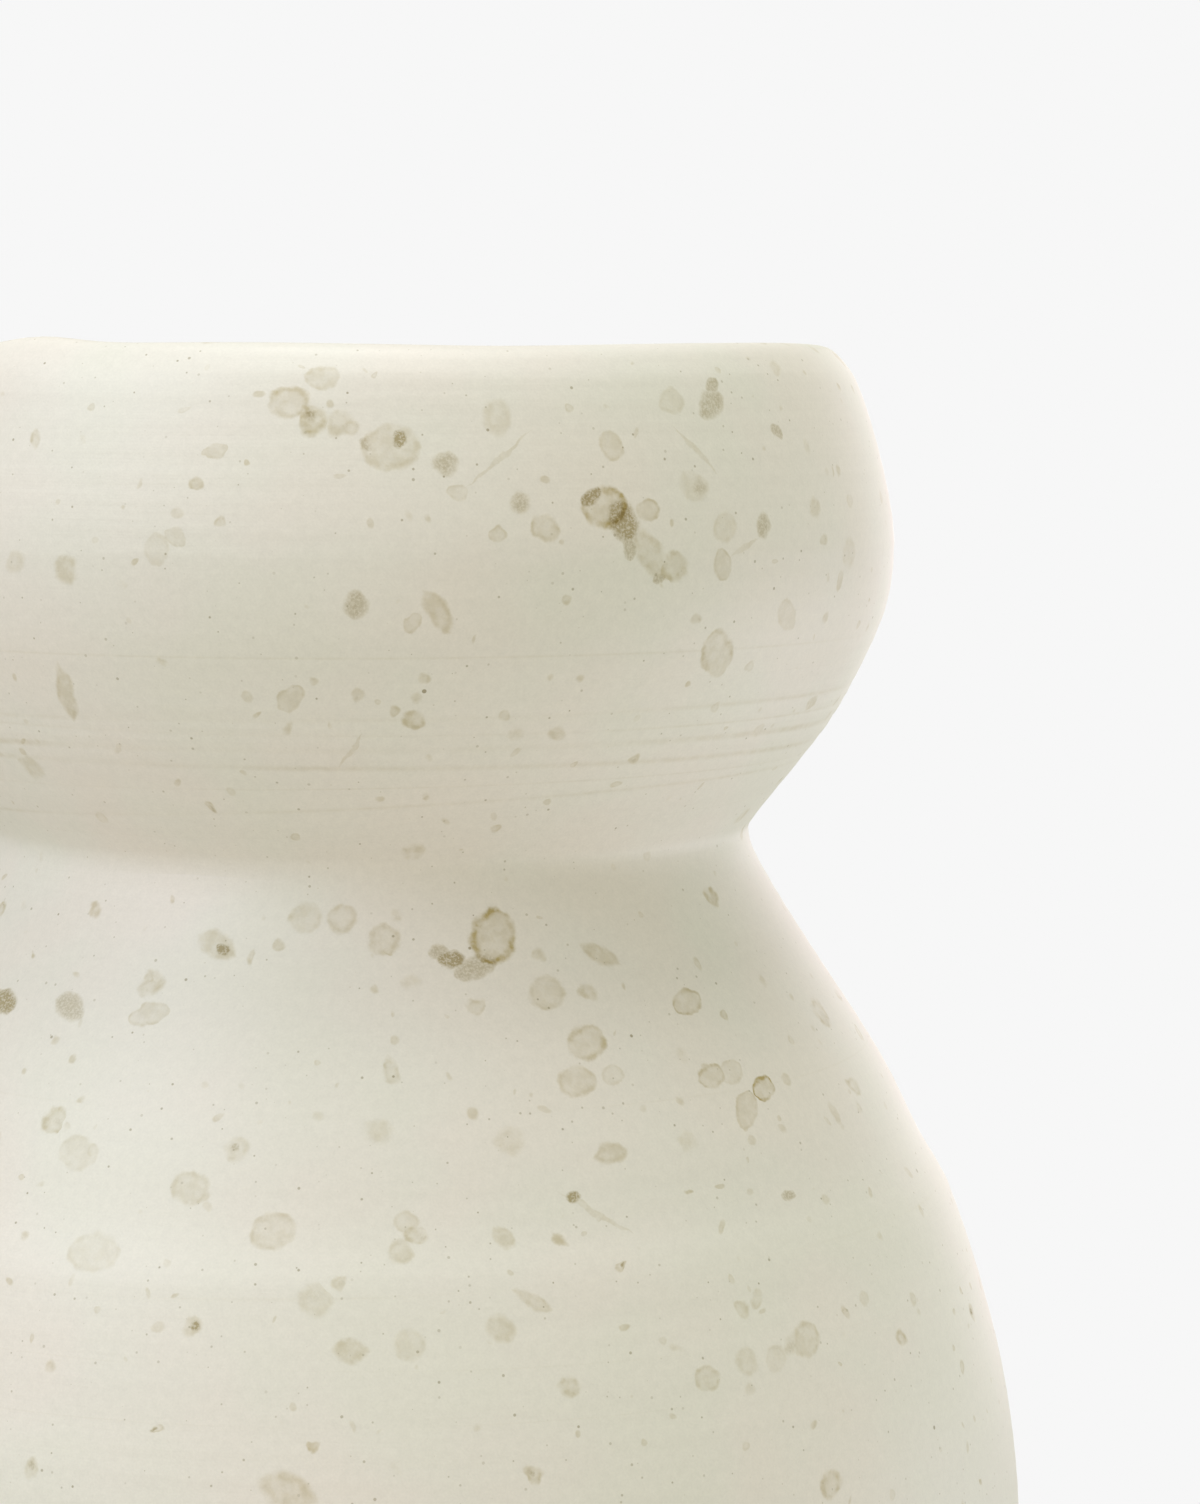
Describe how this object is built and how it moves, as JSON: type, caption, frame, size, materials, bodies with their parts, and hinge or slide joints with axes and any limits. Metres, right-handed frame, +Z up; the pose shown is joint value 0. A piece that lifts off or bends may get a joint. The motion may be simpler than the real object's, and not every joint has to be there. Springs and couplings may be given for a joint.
{
  "type": "stoneware vase",
  "caption": "Thrown stoneware vase with a wide bowl-like collar, pinched neck, sloping shoulder and full belly on a turned foot, in speckled matt ivory glaze.",
  "frame": {"origin": "centre of the foot ring on the surface that the vase stands on", "axes": "+Z up along the vase's axis of turning; X and Y level, with the side that is seen facing -Y"},
  "size_m": [0.18, 0.18, 0.28],
  "materials": {
    "ivory_glaze": "eggshell matt ivory glaze with fine iron specks and khaki spatter",
    "liner_glaze": "satin liner glaze, smoother and glossier than the outside",
    "stoneware_clay": "bare fired stoneware, buff, with fine grog and iron specks",
    "coil_clay": "fired stoneware coil, buff, smoothed by finger",
    "slip": "fired joining slip, fine and pale"
  },
  "bodies": {
    "root": {"belly_section": "stoneware_clay", "shoulder_section": "stoneware_clay", "collar_section": "stoneware_clay", "shoulder_slip": "slip", "neck_slip": "slip", "shoulder_coil": "coil_clay", "neck_coil": "coil_clay", "liner_glaze": "liner_glaze", "outer_glaze": "ivory_glaze"}
  },
  "joints": []
}
